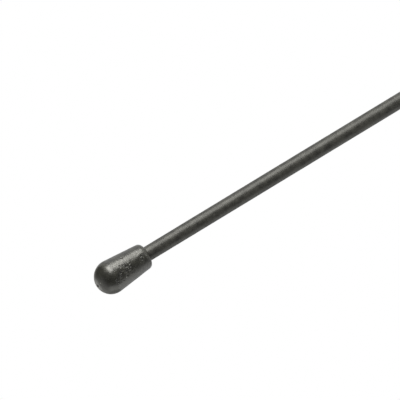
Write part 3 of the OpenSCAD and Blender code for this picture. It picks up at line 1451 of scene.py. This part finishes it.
    def boot(self) -> bpy.types.Object:
        """Builds the boot: a straight grip and a taper, with a rib in the ferrule's groove.

        Returns:
            The piece.
        """
        low, high = levels("foot_boot")
        inner, wide = MAST_R + FIT_GAP, self.body_r + FIT_GAP
        outer = wide + self.boot_wall
        blend, top_r, rib_edge = self.boot_blend_r, self.boot_top_r, self.rib_edge_r
        shoulder = low + self.body_h
        flank = tangent(
            np.array([outer - blend, shoulder + self.boot_grip_l, blend]),
            np.array([inner + self.boot_top_wall - top_r, high - top_r, top_r]),
        )
        (r0, z0), (r1, z1) = flank
        bend = z0 + (outer - r0) / (r1 - r0) * (z1 - z0)
        rib_low = low + self.groove_h + self.rib_gap
        rib_high = low + self.groove_h + self.groove_w - self.rib_gap
        rib_r = wide - self.groove_depth
        corners = (
            Corner(wide, low, self.boot_hem_r, 0.2),
            Corner(outer, low, self.boot_foot_r, 0.35),
            Corner(outer, bend, blend, 0.35),
            Corner(radius_at(flank, high), high, top_r, 0.15),
            Corner(inner, high, self.boot_mouth_r, 2.0),
            Corner(inner, shoulder, rib_edge, 0.5),
            Corner(wide, shoulder, rib_edge, 1.0),
            Corner(wide, rib_high, rib_edge, 0.2),
            Corner(rib_r, rib_high, rib_edge, 0.5),
            Corner(rib_r, rib_low, rib_edge, 0.2),
            Corner(wide, rib_low, rib_edge, 1.0),
        )
        outline = rounded_outline(corners, looped=True)
        points = spin(outline, self.boot_columns)
        normals = spun_normals(outline, self.boot_columns, looped=True)
        inside = np.interp(outline[:, 1:], [low, high], [wide, inner])
        outside = outline[:, :1] > inside + self.boot_skin
        sunk = self.boot_lump * ripples(points, self.boot_lump_width, self.boot_seed) * outside
        skin = Skin(points - sunk[:, :, None] * normals, looped=True)
        return make_piece("moulded_boot", skin, Rubber.BOOT.value, "foot_boot")

    def washer(self) -> bpy.types.Object:
        """Builds the washer, a flat ring with softened edges.

        Returns:
            The piece.
        """
        low, high = levels("rubber_washer")
        inner, outer = self.stud_r + self.washer_gap, self.collar_r - self.washer_inset
        corners = (
            Corner(inner, low, self.washer_hole_r, 0.3),
            Corner(outer, low, self.washer_rim_r, 0.2),
            Corner(outer, high, self.washer_rim_r, 0.3),
            Corner(inner, high, self.washer_hole_r, 0.3),
        )
        skin = Skin(spin(rounded_outline(corners, looped=True), self.washer_columns), looped=True)
        return make_piece("seal_washer", skin, Rubber.WASHER.value, "rubber_washer")

    def build(self) -> list[bpy.types.Object]:
        """Builds the foot's pieces, from the inside out."""
        return [self.solder(), self.ferrule(), self.stud(), self.boot(), self.washer()]


# The studio, with lengths in metres


@dataclass
class View:
    """Camera at the photograph's angle, with its tilt down and its roll in degrees.

    The frame's width and the nose's offset from its middle, to the right and up, are measured
    at the distance of the object.
    """

    tilt: float = 12.25
    roll: float = 121.24399
    nose_offset: Pair = (-0.02657, -0.02265)
    frame_width: float = 0.11896
    distance: float = 4.0
    sensor: float = 36.0
    clip: Pair = (0.1, 100.0)

    def build(self) -> None:
        """Places the camera so that the cap's nose and the mast lie as in the photograph.

        The view looks along the horizontal +Y, tilted down, and is rolled so that the mast runs
        up to the right with the cap at the lower left.
        """
        tilt, roll = math.radians(self.tilt), math.radians(self.roll)
        back = Vector((0.0, -math.cos(tilt), math.sin(tilt)))
        upright = Vector((0.0, math.sin(tilt), math.cos(tilt)))
        side = Vector((1.0, 0.0, 0.0))
        right = math.cos(roll) * side - math.sin(roll) * upright
        up = math.sin(roll) * side + math.cos(roll) * upright
        nose = Vector((0.0, 0.0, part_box("tip_cap")[1].z - TipCap.nose_r * MM))
        aim = nose - self.nose_offset[0] * right - self.nose_offset[1] * up
        data = bpy.data.cameras.new("camera")
        data.sensor_width = self.sensor
        data.lens = self.sensor * self.distance / self.frame_width
        data.clip_start, data.clip_end = self.clip
        camera = bpy.data.objects.new("camera", data)
        turn = Matrix((right, up, back)).transposed().to_4x4()
        camera.matrix_world = Matrix.Translation(aim + self.distance * back) @ turn
        bpy.context.scene.collection.objects.link(camera)
        bpy.context.scene.camera = camera


@dataclass
class Floor:
    """Round pale floor under the stud, which lies near its front edge.

    Its glow rises from near_glow to glow over glow_run, a stretch of distances from the stud. In
    gloss it is dimmer by back_dim past back_run, and by left_dim more to the left of the stud.
    To the camera it whitens from near_white at the stud to white at the end of white_run, so
    that the object's shadow still shows near the stud.
    """

    radius: float = 3.0
    back: float = 2.45
    drop: float = 0.0002
    columns: int = 128
    speckle: Noise = Noise(3.0, 3.0)
    dark_paint: Colour = (0.78, 0.78, 0.775)
    pale_paint: Colour = (0.82, 0.82, 0.815)
    glow: float = 0.80
    near_glow: float = 0.12
    glow_run: Pair = (0.1, 1.1)
    back_dim: float = 0.58
    back_run: Pair = (0.9, 1.6)
    left_dim: float = 0.25
    left_run: Pair = (0.0, 0.15)
    near_white: float = 0.4
    white_run: Pair = (0.0, 0.5)

    def material(self) -> bpy.types.Material:
        """Builds the floor's material, which is clear when seen from below.

        Returns:
            The material.
        """
        material, make = new_material("floor")
        colour = make.blend(make.noise(self.speckle), self.dark_paint, self.pale_paint)
        paint = make.node("ShaderNodeBsdfDiffuse", None, {"Color": colour})
        place = make.here()
        away = make.node("ShaderNodeVectorMath", {"operation": "LENGTH"}, {0: place}, 1)
        side, depth = make.axes(place, "XY")
        dim = self.left_dim * (-side).ramp(*self.left_run) + self.back_dim
        kept = 1 - dim * depth.ramp(*self.back_run) * make.rays("Is Glossy Ray")
        spread = (self.glow - self.near_glow) * away.ramp(*self.glow_run) + self.near_glow
        light = make.blend(spread * kept * make.rays(*SHOWING_RAYS), BLACK, WHITE)
        glow = make.node("ShaderNodeEmission", None, {"Color": light})
        lit = make.node("ShaderNodeAddShader", None, {0: paint, 1: glow})
        bright = (1 - self.near_white) * away.ramp(*self.white_run) + self.near_white
        sheet = make.node("ShaderNodeEmission", None, {"Color": WHITE})
        far = bright * make.rays("Is Camera Ray")
        top = make.node("ShaderNodeMixShader", None, {0: far, 1: lit, 2: sheet})
        under = make.node("ShaderNodeNewGeometry", output="Backfacing")
        clear = make.node("ShaderNodeBsdfTransparent")
        shown = make.node("ShaderNodeMixShader", None, {0: under, 1: top, 2: clear})
        make.node("ShaderNodeOutputMaterial", None, {"Surface": shown})
        return material

    def build(self) -> None:
        """Lays the floor just under the stud's end."""
        angles = circle(self.columns)
        across, along = np.cos(angles), np.sin(angles)
        level = np.full(self.columns, CAD_BOX[0].z - self.drop)
        ring = np.stack([self.radius * across, self.back + self.radius * along, level], axis=1)
        mesh = bpy.data.meshes.new("pale_floor")
        mesh.from_pydata(ring.tolist(), [], [list(range(self.columns))])
        mesh.materials.append(self.material())
        floor = bpy.data.objects.new("pale_floor", mesh)
        bpy.context.scene.collection.objects.link(floor)


@dataclass
class Surroundings:
    """White surroundings for the camera, warmer and partly dark in gloss.

    A direction is a unit vector, and each run is a stretch of its X, Y or Z over which a dark
    part sets in or ends. One part is on the camera's side, one up to the right, and one low on
    the left. All other light from around is even, at room_light.
    """

    room_light: float = 0.26
    front_light: float = 0.11
    front_run: Pair = (-0.68, 0.02)
    dark_above: float = 0.9
    above_run: Pair = (-0.02, 0.14)
    right_run: Pair = (-0.05, 0.75)
    dark_left: float = 0.5
    left_run: Pair = (0.0, 0.3)
    low_run: Pair = (0.25, 0.5)
    warm_paper: Colour = (1.0, 0.99, 0.94)

    def build(self) -> None:
        """Sets up the world."""
        world = bpy.data.worlds.new("studio")
        world.use_nodes = True
        bpy.context.scene.world = world
        make = Recipe(world.node_tree)
        place = make.node("ShaderNodeTexCoord", output="Generated")
        side, depth, height = make.axes(place, "XYZ")
        gloss = make.rays("Is Glossy Ray")
        front = (1 - depth.ramp(*self.front_run)) * (1 - self.front_light)
        above = height.ramp(*self.above_run) * side.ramp(*self.right_run) * self.dark_above
        low = 1 - height.ramp(*self.low_run)
        left = (-side).ramp(*self.left_run) * low * self.dark_left
        shade = front.over(above).over(left) * gloss
        paper = make.blend(shade, make.blend(gloss, WHITE, self.warm_paper), BLACK)
        bright = make.node("ShaderNodeBackground", None, {"Color": paper})
        even = {"Color": WHITE, "Strength": self.room_light}
        dim = make.node("ShaderNodeBackground", None, even)
        shown = make.rays(*SHOWING_RAYS)
        mixed = make.node("ShaderNodeMixShader", None, {0: shown, 1: dim, 2: bright})
        make.node("ShaderNodeOutputWorld", None, {"Surface": mixed})


@dataclass(frozen=True)
class SoftBox:
    """Rectangular lamp at a bearing, aimed at a level of the aerial's axis."""

    name: str
    bearing: float
    distance: float
    level: float
    aim: float
    width: float
    height: float
    radiance: float
    colour: Colour

    def build(self) -> None:
        """Adds the lamp. Its power is radiance * pi * area."""
        data = bpy.data.lights.new(self.name, "AREA")
        data.shape = "RECTANGLE"
        data.size, data.size_y = self.width, self.height
        data.energy = self.radiance * math.pi * self.width * self.height
        data.color = self.colour
        bearing = math.radians(self.bearing)
        across = self.distance * math.sin(bearing), -self.distance * math.cos(bearing)
        place = Vector((*across, self.level))
        turn = (Vector((0.0, 0.0, self.aim)) - place).to_track_quat("-Z", "Y")
        lamp = bpy.data.objects.new(self.name, data)
        lamp.matrix_world = Matrix.Translation(place) @ turn.to_matrix().to_4x4()
        lamp.visible_camera = False
        bpy.context.scene.collection.objects.link(lamp)


@dataclass
class Studio:
    """The whole studio: camera, floor, surroundings and lamps."""

    boxes: tuple[SoftBox, ...] = (
        SoftBox(
            "key_softbox",
            bearing=53.3,
            distance=0.62,
            level=0.285,
            aim=0.285,
            width=0.55,
            height=0.27,
            radiance=12.1,
            colour=(1.0, 0.99, 0.92),
        ),
        SoftBox(
            "side_fill",
            bearing=-90.0,
            distance=1.1,
            level=0.58,
            aim=0.5,
            width=0.90,
            height=1.16,
            radiance=1.05,
            colour=(1.0, 1.0, 0.93),
        ),
        SoftBox(
            "rear_card",
            bearing=180.0,
            distance=1.1,
            level=1.5,
            aim=0.4,
            width=1.0,
            height=0.8,
            radiance=1.0,
            colour=(1.0, 1.0, 0.94),
        ),
    )

    def build(self) -> None:
        """Sets up the whole studio."""
        bpy.context.scene.view_settings.view_transform = "Standard"
        for part in (View(), Floor(), Surroundings(), *self.boxes):
            part.build()


def main() -> None:
    """Builds the studio and the aerial, and reports each piece."""
    logging.basicConfig(level=logging.INFO, format="%(name)s: %(message)s")
    Studio().build()
    for piece in (TipCap().build(), *Mast().build(), *Foot().build()):
        LOG.info("%s: %d faces", piece.name, len(piece.data.polygons))


if __name__ == "__main__":
    main()
